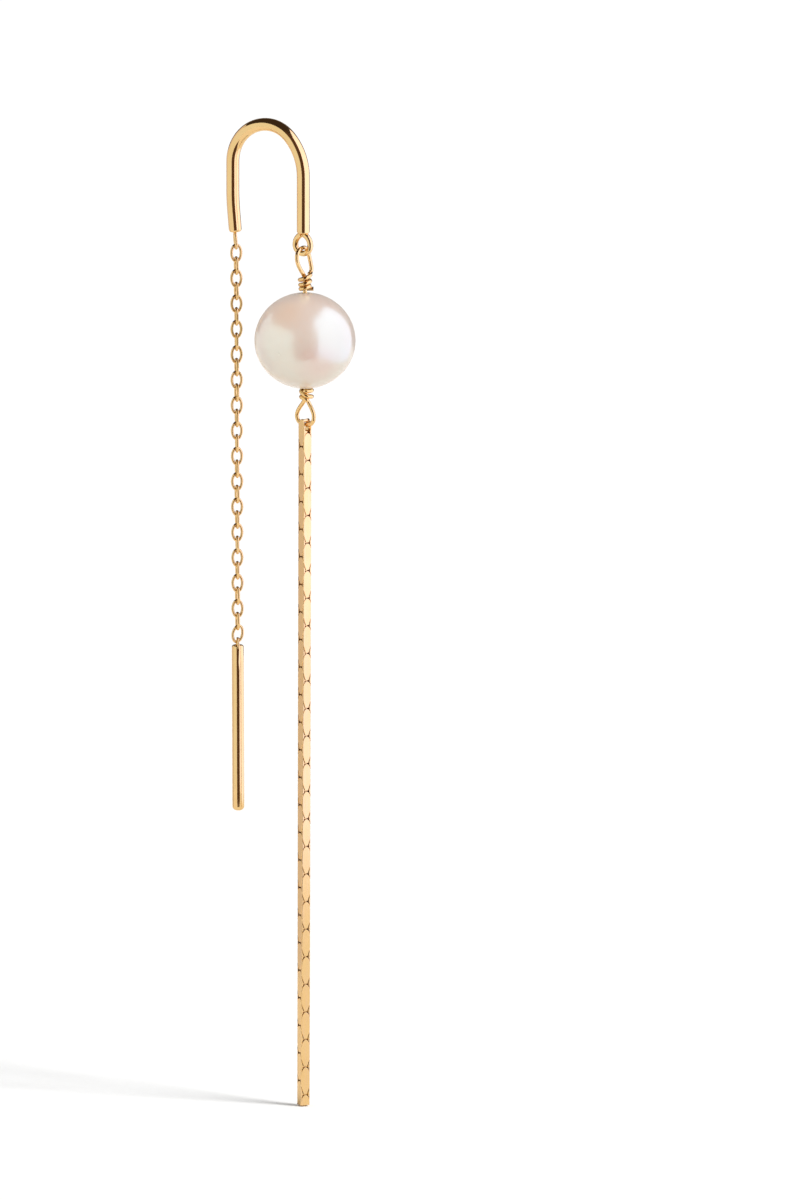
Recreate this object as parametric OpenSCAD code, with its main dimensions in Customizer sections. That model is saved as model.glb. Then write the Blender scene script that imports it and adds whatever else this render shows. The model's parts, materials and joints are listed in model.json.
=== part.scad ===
// Pearl drop earring of the threader kind: a U of round wire that sits in the ear lobe,
// a cable chain with a slim bar on one leg, and a drilled pearl with a long square chain
// on the other. The origin is the inner top of the U, where the lobe carries the earring.
// X runs from the bar's leg to the pearl's leg, Y from front to back, Z up. Millimetres.

/* [Ear wire] */
// Diameter of the round ear wire
wire_d = 1.03; // [0.9:0.01:1.1]
// Distance from the middle plane to the centre of each leg
leg_x = 3.29; // [3.1:0.01:3.6]
// Level of the flat end of the pearl's leg
pearl_leg_end = -8.05; // [-8.3:0.05:-7.9]
// Level where the bar's leg starts to bend inwards
bend_z = -4.97; // [-5.5:0.01:-4.5]
// Radius of that bend
bend_r = 18; // [14:1:24]
// Angle that the bar's leg leans inwards below the bend
bend_a = 5.5; // [3:0.1:7]
// Length of the straight end below the bend
tail_len = 1.88; // [1.7:0.01:2.1]
// Rounding of the cut ends of the wire
end_round = 0.16; // [0.1:0.01:0.25]

/* [Ring] */
// Outer diameter of the ring soldered under the pearl's leg
ring_d = 1.95; // [1.8:0.01:2.1]
// Wire diameter of the ring
ring_wire = 0.37; // [0.3:0.01:0.4]
// Level of the ring's lowest point
ring_bottom = -9.906; // [-10:0.001:-9.85]
// Diameter of the solder where it meets the leg
solder_d = 0.84; // [0.6:0.01:0.9]

/* [Cable chain] */
// Length of a link over all
link_len = 1.53; // [1.5:0.01:1.56]
// Width of a link over all
link_w = 1.0; // [0.9:0.01:1.1]
// Wire diameter of a link
link_wire = 0.2; // [0.18:0.005:0.21]
// Distance from one link to the next
link_pitch = 1.028; // [1.02:0.001:1.03]
// Loose links between the leg and the bar
link_count = 31; // [21:2:41]
// Turn of the first link about the vertical
link_turn = 31; // [0:1:90]
// Level of the middle of the first loose link
first_link_z = -10.13; // [-10.2:0.01:-10.1]

/* [Bar] */
// Diameter of the threader bar
bar_d = 0.96; // [0.8:0.01:1.1]
// Length of the threader bar
bar_len = 13.43; // [10:0.01:18]
// Rounding of the bar's shoulder
bar_shoulder = 0.2; // [0.1:0.01:0.3]
// Length of the bar's round tip
bar_tip = 0.5; // [0.3:0.01:0.8]

/* [Pearl] */
// Width of the pearl
pearl_w = 8.09; // [7.5:0.01:8.5]
// Height of the pearl
pearl_h = 7.72; // [7:0.01:7.74]
// Level of the pearl's middle
pearl_z = -16.7; // [-16.8:0.01:-16.6]
// Diameter of the drilled hole
bore_d = 0.46; // [0.42:0.01:0.6]
// Distance of the drop's axis from the pearl's leg
drop_offset = 0.1; // [0:0.01:0.12]

/* [Pearl wire] */
// Diameter of the wire through the pearl
pin_d = 0.3; // [0.28:0.01:0.3]
// Outer width of the two wire loops
loop_w = 2.36; // [2.2:0.01:2.4]
// Distance from a loop's middle to the crossing of its legs
loop_reach = 1.27; // [1.25:0.01:1.3]
// Play between the upper loop and the ring
loop_play = 0.04; // [0.03:0.01:0.06]
// Level of the lower loop's lowest point
lower_loop_bottom = -23.66; // [-23.68:0.01:-23.64]
// Radius of the wide turns round the crossing
wide_turn_r = 0.41; // [0.38:0.01:0.43]
// Radius of the tight turns next to the pearl
tight_turn_r = 0.27; // [0.25:0.01:0.28]
// Length of the cut tail of the upper wrap
tail_out = 0.74; // [0.6:0.01:0.8]

/* [Square chain] */
// Side of the chain's square section
square_w = 0.76; // [0.76:0.01:0.8]
// Thickness of a plate
plate_t = 0.15; // [0.13:0.01:0.16]
// Distance from one plate to the next on the same face
square_pitch = 2.2334; // [2.2:0.0001:2.26]
// Links of the square chain, the last two soldered
square_count = 50; // [30:2:50]
// Level of the middle of the first link
first_square_z = -24.13; // [-24.14:0.01:-24.12]
// Turn of the first link about the vertical
square_turn = -20; // [-30:1:0]
// Turn that the chain gathers from top to bottom
square_twist = -14; // [-20:1:0]
// Level where the soldered end is cut flat
square_end = -78.6; // [-78.62:0.01:-78.55]

/* [Hidden] */
$fn = 64;

// Smallest clear space between neighbouring links
gap = 0.102;
// Length by which parts that are one solid run into each other
overlap = 0.06;

// The arch is half a turn whose inner top is the origin
arch_z = wire_d / 2 - leg_x;

ring_r = (ring_d - ring_wire) / 2;
ring_z = ring_bottom + ring_d / 2;
solder_h = 0.3;
solder_tip_d = 0.3;

// Lower end of the bend, and the foot of the bar's leg after its straight end
bend_end_x = bend_r * (1 - cos(bend_a)) - leg_x;
bend_end_z = bend_z - bend_r * sin(bend_a);
foot_x = bend_end_x + tail_len * sin(bend_a);

link_r = (link_w - link_wire) / 2;
link_straight = link_len - link_w;
eye_z = first_link_z - link_count * link_pitch;
eye_sink = 0.16;
tip_flat = 0.06;

// Drop axis, and the places of what is on it
drop_x = leg_x + drop_offset;
loop_r = (loop_w - pin_d) / 2;
upper_loop_z = ring_bottom + ring_wire + loop_play + pin_d - loop_w / 2;
lower_loop_z = lower_loop_bottom + loop_w / 2;
upper_loop_turn = 90;
pearl_top = pearl_z + pearl_h / 2;
pearl_bottom = pearl_z - pearl_h / 2;
wide_slope = 16;
tight_slope = 6;
turn_play = 0.08;

// Plate of the square chain: half widths at its middle and at its end
face = square_w / 2;
plate_len = square_pitch - gap;
mitre_play = 0.155;
plate_mid_w = face - 0.015;
plate_end_w = 2 * face - mitre_play - plate_mid_w;
taper_from = 0.2;
taper_to = square_pitch / 2 - taper_from;
taper_a = atan((plate_mid_w - plate_end_w) / (taper_to - taper_from));
taper_w = plate_mid_w * cos(taper_a) + taper_from * sin(taper_a);
plate_end_r = 0.3;
rung_d = 0.24;
rung_z = (square_pitch / 2 + rung_d + gap) / 2;
top_rung_z = (plate_len - rung_d) / 2;
solder_core_h = 0.5;
solder_core_w = square_w - 0.08;
cutter_w = 2 * square_w;

// Part of a ring of round wire about Z, from the X axis through the given angle
module wire_arc(path_r, d, angle = 360) {
    rotate_extrude(angle = angle) translate([path_r, 0]) circle(d = d);
}

// Points of a quarter round from angle a0 to a1 about a centre, stretched to height ry
function quarter_round(cx, cy, rx, ry, a0, a1, steps = 6) =
    [for (i = [0:steps]) let (a = a0 + (a1 - a0) * i / steps) [cx + rx * cos(a), cy + ry * sin(a)]];

// Round rod that hangs down from z = 0, with a rounded foot and, if wanted, a rounded shoulder
module rod(d, len, foot_w, foot_h, shoulder = 0) {
    rotate_extrude() polygon(concat(
        [[0, -len]],
        quarter_round(d / 2 - foot_w, foot_h - len, foot_w, foot_h, -90, 0),
        shoulder == 0 ? [[d / 2, 0]]
            : quarter_round(d / 2 - shoulder, -shoulder, shoulder, shoulder, 0, 90),
        [[0, 0]]));
}

// Upright oval link of the cable chain in the XZ plane, centred on the origin
module cable_link() {
    for (side = [0, 180]) rotate([0, side, 0]) {
        translate([0, 0, link_straight / 2]) rotate([90, 0, 0]) wire_arc(link_r, link_wire, 180);
        translate([link_r, 0, -link_straight / 2]) cylinder(h = link_straight, d = link_wire);
    }
}

// Ear wire: arch, straight leg, bent leg, soldered ring and the soldered first link
module ear_wire() color("#f0c878") {
    translate([0, 0, arch_z]) rotate([90, 0, 0]) wire_arc(leg_x, wire_d, 180);
    translate([leg_x, 0, arch_z]) rod(wire_d, arch_z - pearl_leg_end, end_round, end_round);
    translate([-leg_x, 0, bend_z]) cylinder(h = arch_z - bend_z, d = wire_d);
    translate([bend_r - leg_x, 0, bend_z]) rotate([90, 0, 0]) rotate([0, 0, 180])
        wire_arc(bend_r, wire_d, bend_a);
    translate([bend_end_x, 0, bend_end_z])
        rotate([0, -bend_a, 0]) rod(wire_d, tail_len, end_round, end_round);
    translate([leg_x, 0, ring_z]) rotate([90, 0, 0]) wire_arc(ring_r, ring_wire);
    translate([leg_x, 0, pearl_leg_end - solder_h + overlap])
        cylinder(h = solder_h, d1 = solder_tip_d, d2 = solder_d);
    translate([foot_x, 0, first_link_z + link_pitch]) rotate([0, 0, link_turn + 90]) cable_link();
}

// Cable chain: loose links, each turned a quarter to the one above
module threader_chain() color("#e8bf70")
    for (i = [0:link_count - 1])
        translate([foot_x, 0, first_link_z - i * link_pitch])
            rotate([0, 0, link_turn + 90 * (i % 2)]) cable_link();

// Slim bar that is threaded through the ear, with the eye soldered in its top
module threader_bar() color("#f0c878") translate([foot_x, 0, 0]) {
    translate([0, 0, eye_z + eye_sink]) rod(bar_d, bar_len, bar_d / 2 - tip_flat, bar_tip, bar_shoulder);
    translate([0, 0, eye_z]) rotate([0, 0, link_turn + 90]) cable_link();
}

// Drilled pearl, a little wider than it is high
module pearl() color("#e9ddd6") translate([drop_x, 0, pearl_z]) difference() {
    rotate_extrude() intersection() {
        translate([(pearl_w - pearl_h) / 2, 0]) circle(d = pearl_h);
        translate([0, -pearl_h]) square([pearl_w, 2 * pearl_h]);
    }
    translate([0, 0, -pearl_h]) cylinder(h = 2 * pearl_h, d = bore_d);
}

// Pointed wire loop in the XZ plane, centred on its round part, with its legs crossing above
module wire_loop() {
    lean = asin(loop_r / loop_reach);
    leg = loop_reach * cos(lean);
    rotate([90, 0, 0]) rotate([0, 0, 180 - lean]) wire_arc(loop_r, pin_d, 180 + 2 * lean);
    for (side = [-1, 1])
        translate([side * loop_r * cos(lean), 0, loop_r * sin(lean)])
            rotate([0, -side * lean, 0]) cylinder(h = leg + overlap, d = pin_d);
}

// Turn of wire round the drop axis at a level, sloping by an angle
module wrap_turn(z, turn_r, slope, heading) {
    translate([0, 0, z]) rotate([0, 0, heading]) rotate([0, slope, 0]) wire_arc(turn_r, pin_d);
}

// One wire through the pearl, bent to a loop and wrapped at both ends
module pearl_wire() color("#e8bf70") translate([drop_x, 0, 0]) {
    upper_cross = upper_loop_z - loop_reach;
    lower_cross = lower_loop_z + loop_reach;
    first_tight = pearl_top + pin_d / 2 + turn_play;
    last_tight = pearl_bottom - pin_d / 2 - turn_play;
    translate([0, 0, upper_loop_z]) rotate([0, 0, upper_loop_turn]) rotate([180, 0, 0]) wire_loop();
    translate([0, 0, lower_loop_z]) rotate([0, 0, square_turn]) wire_loop();
    translate([0, 0, lower_cross]) cylinder(h = upper_cross - lower_cross, d = pin_d);
    wrap_turn(upper_cross, wide_turn_r, -wide_slope, link_turn);
    wrap_turn(first_tight + pin_d, tight_turn_r, tight_slope, link_turn);
    wrap_turn(first_tight, tight_turn_r, -tight_slope, link_turn);
    wrap_turn(last_tight, tight_turn_r, tight_slope, link_turn);
    wrap_turn(lower_cross, wide_turn_r, -tight_slope, link_turn);
    translate([0, 0, first_tight + pin_d / 2]) rotate([0, 0, link_turn]) rotate([0, 90, 0])
        cylinder(h = tail_out, d = pin_d);
}

// Trapezium of a plate's section, widest at the outer face, extruded along Z
module plate_bar(half_w, len) {
    translate([0, 0, -len / 2]) linear_extrude(len) polygon([
        [plate_t - half_w, face - plate_t], [half_w - plate_t, face - plate_t],
        [half_w, face], [-half_w, face]]);
}

// One plate of a square link: mitred long edges, tapered to round ends
module plate() intersection() {
    plate_bar(plate_mid_w, square_pitch);
    rotate([0, taper_a, 0]) plate_bar(taper_w, 2 * square_pitch);
    rotate([0, -taper_a, 0]) plate_bar(taper_w, 2 * square_pitch);
    rotate([90, 0, 0]) translate([0, 0, -square_w]) linear_extrude(2 * square_w) {
        square([square_w, plate_len - 2 * plate_end_r], center = true);
        for (end = [-1, 1]) translate([0, end * (plate_len / 2 - plate_end_r)]) circle(plate_end_r);
    }
}

// Square link: two plates and the two round rungs between them
module square_link(upper_rung = rung_z) {
    for (side = [0, 180]) rotate([0, 0, side]) plate();
    for (z = [upper_rung, -rung_z])
        translate([0, face - plate_t + overlap, z]) rotate([90, 0, 0])
            cylinder(h = 2 * (face - plate_t + overlap), d = rung_d);
}

// Square link in its place in the chain, turned a quarter to the one above
module placed_link(i) {
    translate([0, 0, first_square_z - i * square_pitch / 2])
        rotate([0, 0, square_turn + 90 * (i % 2) + square_twist * i / (square_count - 1)])
            square_link(i == 0 ? top_rung_z : rung_z);
}

// Square chain: loose links from the lower loop down, the last two soldered and cut flat
module drop_chain() color("#e3b566") translate([drop_x, 0, 0]) {
    for (i = [0:square_count - 3]) placed_link(i);
    difference() {
        union() {
            placed_link(square_count - 2);
            placed_link(square_count - 1);
            rotate([0, 0, square_turn + square_twist]) translate([0, 0, square_end + solder_core_h / 2])
                cube([solder_core_w, solder_core_w, solder_core_h], center = true);
        }
        translate([0, 0, square_end - square_pitch])
            cube([cutter_w, cutter_w, 2 * square_pitch], center = true);
    }
}

ear_wire();
threader_chain();
threader_bar();
pearl();
pearl_wire();
drop_chain();
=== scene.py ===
"""Pearl threader earring: modelled pieces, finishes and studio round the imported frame.

The earring hangs from the ear lobe's mount at the origin. X runs from the bar's leg to the
pearl's leg, Y from front to back and Z up. Sizes in the classes are millimetres, and
everything that reaches Blender is in metres.
"""

from __future__ import annotations

import json
import logging
import math
from collections.abc import Callable, Iterator
from contextlib import contextmanager
from dataclasses import dataclass, field
from enum import Enum
from typing import NamedTuple

import bmesh
import bpy
from bpy.types import Material, Node, NodeSocket, NodeTree, Object
from mathutils import Matrix, Vector

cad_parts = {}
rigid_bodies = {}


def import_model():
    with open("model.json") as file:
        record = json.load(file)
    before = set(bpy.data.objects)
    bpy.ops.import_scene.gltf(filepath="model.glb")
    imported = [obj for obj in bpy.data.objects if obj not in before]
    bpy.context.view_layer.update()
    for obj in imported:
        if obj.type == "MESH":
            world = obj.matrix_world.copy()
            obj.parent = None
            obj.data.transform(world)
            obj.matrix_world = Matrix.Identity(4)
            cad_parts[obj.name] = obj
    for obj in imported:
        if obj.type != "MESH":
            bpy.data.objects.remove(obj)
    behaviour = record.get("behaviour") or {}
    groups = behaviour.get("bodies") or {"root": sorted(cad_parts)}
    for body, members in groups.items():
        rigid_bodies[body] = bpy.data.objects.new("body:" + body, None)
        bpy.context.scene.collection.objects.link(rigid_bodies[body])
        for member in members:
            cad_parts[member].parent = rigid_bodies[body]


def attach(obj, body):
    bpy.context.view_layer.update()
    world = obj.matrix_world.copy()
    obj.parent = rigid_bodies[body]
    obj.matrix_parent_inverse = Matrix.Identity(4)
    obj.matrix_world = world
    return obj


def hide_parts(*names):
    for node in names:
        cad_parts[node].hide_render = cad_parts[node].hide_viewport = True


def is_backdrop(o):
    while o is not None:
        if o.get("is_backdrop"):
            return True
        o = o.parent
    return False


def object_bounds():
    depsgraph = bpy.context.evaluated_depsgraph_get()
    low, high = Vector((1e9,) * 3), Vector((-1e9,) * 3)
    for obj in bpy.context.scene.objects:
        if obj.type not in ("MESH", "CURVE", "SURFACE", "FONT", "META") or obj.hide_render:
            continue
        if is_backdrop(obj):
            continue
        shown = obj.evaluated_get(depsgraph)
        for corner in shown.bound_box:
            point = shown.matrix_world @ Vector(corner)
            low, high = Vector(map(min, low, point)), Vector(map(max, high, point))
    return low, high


LOG = logging.getLogger("earring")
# A millimetre in metres
MM = 0.001
# Points closer than this, in metres, are merged
WELD = 1e-7
# Levels closer than this, in millimetres, are the same
NEAR = 0.001
# A face looks along an axis where its normal has more than this share of it
FACING = 0.5
# Sockets of a Mix node that mixes colours: share, two colours and result
SHARE, FIRST, SECOND, MIXED = 0, 6, 7, 2


class Body(Enum):
    """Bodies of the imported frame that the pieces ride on."""

    HOOK = "ear_hook"
    DROP = "pearl_drop"


class Kind(Enum):
    """Mesh elements that are picked by their place."""

    EDGE = "EDGE"
    FACE = "FACE"


class Change(Enum):
    """What a closed mesh does to another that it runs into."""

    ADD = "UNION"
    CUT = "DIFFERENCE"


def mm(x: float, y: float, z: float) -> Vector:
    """A point given in millimetres, in metres."""
    return Vector((x, y, z)) * MM


def turned(degrees: float, axis: str = "Z") -> Matrix:
    """A turn about one axis through the origin."""
    return Matrix.Rotation(math.radians(degrees), 4, axis)


def linear(colour: str) -> tuple[float, ...]:
    """Turns an sRGB hex colour to Blender's linear red, green and blue with a full alpha."""
    parts = [int(colour[i : i + 2], 16) / 255 for i in (1, 3, 5)]
    return (*(c / 12.92 if c <= 0.04045 else ((c + 0.055) / 1.055) ** 2.4 for c in parts), 1.0)


def deselect() -> None:
    """Leaves object mode's selection empty."""
    bpy.ops.object.select_all(action="DESELECT")


def make_active(piece: Object) -> None:
    """Selects one piece alone and makes it the active one."""
    deselect()
    piece.select_set(True)
    bpy.context.view_layer.objects.active = piece


@contextmanager
def edit_mode(piece: Object) -> Iterator[None]:
    """Opens a piece in edit mode for the lines inside the with block."""
    make_active(piece)
    bpy.ops.object.mode_set(mode="EDIT")
    yield
    bpy.ops.object.mode_set(mode="OBJECT")


def select(piece: Object, kind: Kind, wanted: Callable[[Vector, Vector], bool]) -> None:
    """Selects a piece's edges or faces by a test, in edit mode.

    Args:
        piece: The piece that is open in edit mode, unturned at the origin.
        kind: What is selected.
        wanted: Gets an edge's two ends, or a face's centre and normal. Places are in
            millimetres.
    """
    bpy.ops.mesh.select_mode(type=kind.value)
    bpy.ops.mesh.select_all(action="DESELECT")
    mesh = bmesh.from_edit_mesh(piece.data)
    if kind is Kind.EDGE:
        traits = [(edge, [v.co / MM for v in edge.verts]) for edge in mesh.edges]
    else:
        traits = [(face, [face.calc_center_median() / MM, face.normal]) for face in mesh.faces]
    for element, (a, b) in traits:
        if wanted(a, b):
            element.select_set(True)
    bmesh.update_edit_mesh(piece.data)


def settle(piece: Object) -> None:
    """Puts a piece's place into its mesh, so that its object sits unturned at the origin."""
    make_active(piece)
    bpy.ops.object.transform_apply(location=True, rotation=True, scale=True)


def added(add: Callable[..., set[str]], scale: Vector | None = None, **how: object) -> Object:
    """Adds a primitive at its size and place, with all else deselected.

    Args:
        add: The operator that adds it.
        scale: Its scale along its own axes, where it has one.
        how: The operator's settings.

    Returns:
        The primitive, whose place is in its mesh.
    """
    deselect()
    add(**how)
    piece = bpy.context.active_object
    if scale:
        piece.scale = scale
    settle(piece)
    return piece


def tidy_mesh(piece: Object) -> None:
    """Merges doubles and turns all faces outwards."""
    with edit_mode(piece):
        bpy.ops.mesh.select_all(action="SELECT")
        bpy.ops.mesh.remove_doubles(threshold=WELD)
        bpy.ops.mesh.normals_make_consistent(inside=False)


def join(name: str, parts: list[Object]) -> Object:
    """Joins several meshes into one piece.

    Args:
        name: The piece's name.
        parts: The meshes, whose first becomes the piece.

    Returns:
        The joined piece.
    """
    make_active(parts[0])
    for part in parts:
        part.select_set(True)
    bpy.ops.object.join()
    parts[0].name = parts[0].data.name = name
    return parts[0]


def combine(body: Object, tool: Object, change: Change) -> None:
    """Adds a closed mesh to another or cuts it away, and removes it.

    Args:
        body: The mesh that is changed.
        tool: The mesh that is added or cut away.
        change: Which of the two.
    """
    make_active(body)
    boolean = body.modifiers.new("combine", "BOOLEAN")
    boolean.operation = change.value
    boolean.solver = "EXACT"
    boolean.object = tool
    bpy.ops.object.modifier_apply(modifier=boolean.name)
    bpy.data.objects.remove(tool)


def fuse(name: str, parts: list[Object]) -> Object:
    """Makes one closed solid of several that run into each other, as solder does.

    Args:
        name: The piece's name.
        parts: The closed meshes, whose first becomes the piece.

    Returns:
        The fused piece.
    """
    body = parts[0]
    for part in parts[1:]:
        combine(body, part, Change.ADD)
    body.name = body.data.name = name
    return body


def copies(pattern: Object, places: list[Matrix]) -> list[Object]:
    """Copies a modelled pattern to several places, each copy with its own mesh.

    Args:
        pattern: The modelled piece, which is removed afterwards.
        places: Where each copy goes.

    Returns:
        The copies.
    """
    made = []
    for place in places:
        copy = pattern.copy()
        copy.data = pattern.data.copy()
        copy.data.transform(place)
        bpy.context.scene.collection.objects.link(copy)
        made.append(copy)
    bpy.data.objects.remove(pattern)
    return made


@dataclass
class Wire:
    """Round wire that is drawn out, bent and cut, one move after the other."""

    diameter: float
    sides: int
    piece: Object = field(init=False)
    at: Vector = field(init=False)

    def start(self, at: Vector, tilt: float = 0.0) -> Wire:
        """Lays down the wire's first section, which faces up or down unless it is tilted.

        Args:
            at: The section's centre, in metres.
            tilt: Its turn about an axis along Y, in degrees.

        Returns:
            The wire itself.
        """
        self.piece = added(
            bpy.ops.mesh.primitive_circle_add,
            vertices=self.sides,
            radius=self.diameter / 2 * MM,
            location=at,
            rotation=(0, math.radians(tilt), 0),
        )
        self.at = at.copy()
        bpy.ops.object.mode_set(mode="EDIT")
        bpy.ops.mesh.select_all(action="SELECT")
        return self

    def draw(self, by: Vector, steps: int = 1, grow: float = 1.0) -> None:
        """Draws the wire on from its last section, in a straight line.

        Args:
            by: The way to go, in metres.
            steps: How many sections that takes.
            grow: The size of the last section against the one before.
        """
        for _ in range(steps):
            bpy.ops.mesh.extrude_region_move(TRANSFORM_OT_translate={"value": by / steps})
        self.at += by
        if grow != 1.0:
            bpy.ops.transform.resize(value=(grow, grow, grow), center_override=self.at)

    def bend(self, centre: Vector, angle: float, steps: int) -> None:
        """Bends the wire on round a centre, about an axis along Y.

        Args:
            centre: The bend's centre, in metres.
            angle: The bend's angle in degrees, by the right-hand rule.
            steps: How many sections that takes.
        """
        bpy.ops.mesh.spin(
            steps=steps, angle=-math.radians(angle), center=centre, axis=Vector((0, 1, 0))
        )
        self.at = centre + turned(angle, "Y") @ (self.at - centre)

    def finish(self, closed: bool) -> Object:
        """Ends the wire: its ends meet, or are capped.

        Args:
            closed: True where the last section has come back to the first.

        Returns:
            The wire's mesh.
        """
        bpy.ops.mesh.select_all(action="SELECT")
        bpy.ops.mesh.remove_doubles(threshold=WELD)
        if not closed:
            bpy.ops.mesh.fill_holes(sides=0)
        bpy.ops.mesh.select_all(action="SELECT")
        bpy.ops.mesh.normals_make_consistent(inside=False)
        bpy.ops.object.mode_set(mode="OBJECT")
        return self.piece


def round_rim(piece: Object, point: Vector, normal: Vector, by: float) -> None:
    """Rounds the rim of a cut end.

    Args:
        piece: The mesh whose end it is.
        point: The end's centre, in metres.
        normal: The end's direction.
        by: The rounding, in millimetres.
    """
    thickness, reach = 5 * NEAR, 1.0

    def on_rim(a: Vector, b: Vector) -> bool:
        """Tells an edge that lies in the end's plane, near its centre."""
        offsets = [v - point / MM for v in (a, b)]
        return all(abs(v.dot(normal)) < thickness and v.length < reach for v in offsets)

    with edit_mode(piece):
        select(piece, Kind.EDGE, on_rim)
        bpy.ops.mesh.bevel(offset=by * MM, segments=5, affect="EDGES")


@dataclass
class CableLink:
    """Oval link of round wire, as the cable chain has."""

    length: float = 1.53
    width: float = 1.0
    wire: float = 0.225
    end_angle: float = 58.0
    sides: int = 14
    end_steps: int = 9
    side_steps: int = 5

    def build(self) -> Object:
        """Models one upright link in the XZ plane, centred on the origin.

        Its oval is made of four arcs that run smoothly into each other.

        Returns:
            The link's mesh.
        """
        half_length = (self.length - self.wire) / 2
        half_width = (self.width - self.wire) / 2
        turn = math.radians(self.end_angle)
        spread = (half_length - half_width) / (math.cos(turn) + math.sin(turn) - 1)
        end_at = spread * math.cos(turn)
        side_at = spread * math.sin(turn)
        side_angle = 90 - self.end_angle
        wire = Wire(self.wire, self.sides).start(mm(half_width, 0, 0))
        wire.bend(mm(-side_at, 0, 0), -side_angle, self.side_steps)
        wire.bend(mm(0, 0, end_at), -2 * self.end_angle, 2 * self.end_steps)
        wire.bend(mm(side_at, 0, 0), -2 * side_angle, 2 * self.side_steps)
        wire.bend(mm(0, 0, -end_at), -2 * self.end_angle, 2 * self.end_steps)
        wire.bend(mm(-side_at, 0, 0), -side_angle, self.side_steps)
        return wire.finish(closed=True)


@dataclass
class Threader:
    """What stays in the ear: the U of wire, the cable chain and the bar."""

    # The U of wire
    wire_d: float = 1.03
    leg_x: float = 3.29
    crown_r: float = 2.8
    shoulder_angle: float = 45.0
    pearl_leg_end: float = -8.05
    bend_z: float = -4.97
    bend_r: float = 18.0
    bend_a: float = 5.5
    tail_len: float = 1.88
    tail_cut: float = 0.12
    foot_round: float = 0.16
    tail_round: float = 0.25
    hook_shift: float = -0.06
    sides: int = 40
    # The ring under the pearl's leg, and its solder
    ring_shift: float = 0.1
    ring_bow: float = 0.69
    ring_wire: float = 0.47
    ring_side_r: float = 0.914
    ring_side_angle: float = 66.0
    ring_bottom: float = -9.906
    fine_sides: int = 24
    solder_d: float = 0.84
    solder_h: float = 0.32
    overlap: float = 0.06
    # The cable chain, whose links settle out of square and sway a little from link to link
    link_turn: float = 31.0
    link_slack: float = 11.0
    link_sway: float = 4.0
    sway_step: float = 2.4
    first_link_tilt: float = -5.5
    link_pitch: float = 1.028
    link_count: int = 31
    last_link_tilt: float = 12.0
    hang_lean: float = -0.25
    first_link_z: float = -10.13
    # The bar and its eye
    bar_d: float = 0.96
    bar_len: float = 13.43
    bar_shoulder: float = 0.2
    bar_tip: float = 0.34
    tip_flat: float = 0.06
    eye_wire: float = 0.2
    eye_sink: float = 0.16
    eye_solder_d: float = 0.62
    eye_solder_h: float = 0.2

    def foot_x(self) -> float:
        """Where the bar's leg ends, after its bend and its straight end."""
        bend = self.bend_r * (1 - math.cos(math.radians(self.bend_a))) - self.leg_x
        return bend + self.tail_len * math.sin(math.radians(self.bend_a))

    def hook(self) -> Object:
        """Bends the U of wire, from the foot of the pearl's leg over the arch to the other.

        The arch is a half circle on the bar's side. On the pearl's side, whose weight pulls
        at it, it runs flatter down the shoulder and tighter at the crown.

        Returns:
            The wire's mesh.
        """
        crown_z = self.wire_d / 2
        turn = math.radians(self.shoulder_angle)
        shoulder_r = (self.leg_x - self.crown_r * math.cos(turn)) / (1 - math.cos(turn))
        shoulder_z = crown_z - self.crown_r - (shoulder_r - self.crown_r) * math.sin(turn)
        wire = Wire(self.wire_d, self.sides).start(mm(self.leg_x, 0, self.pearl_leg_end))
        foot = wire.at.copy()
        wire.draw(mm(0, 0, shoulder_z - self.pearl_leg_end), steps=4)
        wire.bend(mm(self.leg_x - shoulder_r, 0, shoulder_z), -self.shoulder_angle, steps=14)
        wire.bend(mm(0, 0, crown_z - self.crown_r), self.shoulder_angle - 90, steps=14)
        wire.bend(mm(0, 0, crown_z - self.leg_x), -90, steps=28)
        wire.draw(mm(0, 0, self.bend_z - crown_z + self.leg_x), steps=2)
        wire.bend(mm(self.bend_r - self.leg_x, 0, self.bend_z), -self.bend_a, steps=8)
        way = turned(-self.bend_a, "Y") @ Vector((0, 0, -1))
        wire.draw(way * (self.tail_len - self.tail_cut) * MM, steps=2)
        piece = wire.finish(closed=False)
        round_rim(piece, foot, Vector((0, 0, -1)), self.foot_round)
        round_rim(piece, wire.at, way, self.tail_round)
        return copies(piece, [Matrix.Translation(mm(self.hook_shift, 0, 0))])[0]

    def ring(self) -> Object:
        """Bends the drop-shaped ring whose two ends are soldered under the pearl's leg.

        Returns:
            The ring's mesh.
        """
        level = self.ring_bottom + self.ring_wire / 2 + self.ring_bow
        ring_x = self.leg_x - self.ring_shift
        inset = self.ring_side_r - self.ring_bow
        right, left = mm(ring_x - inset, 0, level), mm(ring_x + inset, 0, level)
        end = turned(-self.ring_side_angle, "Y") @ mm(self.ring_side_r, 0, 0)
        wire = Wire(self.ring_wire, self.fine_sides)
        wire.start(right + end, tilt=-self.ring_side_angle)
        wire.bend(right, self.ring_side_angle, steps=12)
        wire.bend(mm(ring_x, 0, level), 180, steps=28)
        wire.bend(left, self.ring_side_angle, steps=12)
        return wire.finish(closed=False)

    def solder(self, at: Vector, diameter: float, height: float) -> Object:
        """Runs a drop of solder down from a face, hollow in its flanks.

        Args:
            at: Centre of the face, in metres.
            diameter: The drop's width on the face.
            height: How far it runs down, or up where it is less than nothing.

        Returns:
            The solder's mesh.
        """
        steps, tip_share = 6, 0.36
        drop = Wire(diameter, self.fine_sides).start(at)
        shares = [tip_share + (1 - tip_share) * (1 - i / steps) ** 2 for i in range(steps + 1)]
        for before, after in zip(shares, shares[1:]):
            drop.draw(mm(0, 0, -height / steps), grow=after / before)
        return drop.finish(closed=False)

    def link_angle(self, i: int) -> float:
        """Turn of a cable link, a quarter on from the one above and never quite square to it."""
        sway = self.link_sway * math.sin(self.sway_step * i)
        return self.link_turn + self.link_slack + sway + 90 * (i % 2)

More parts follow.
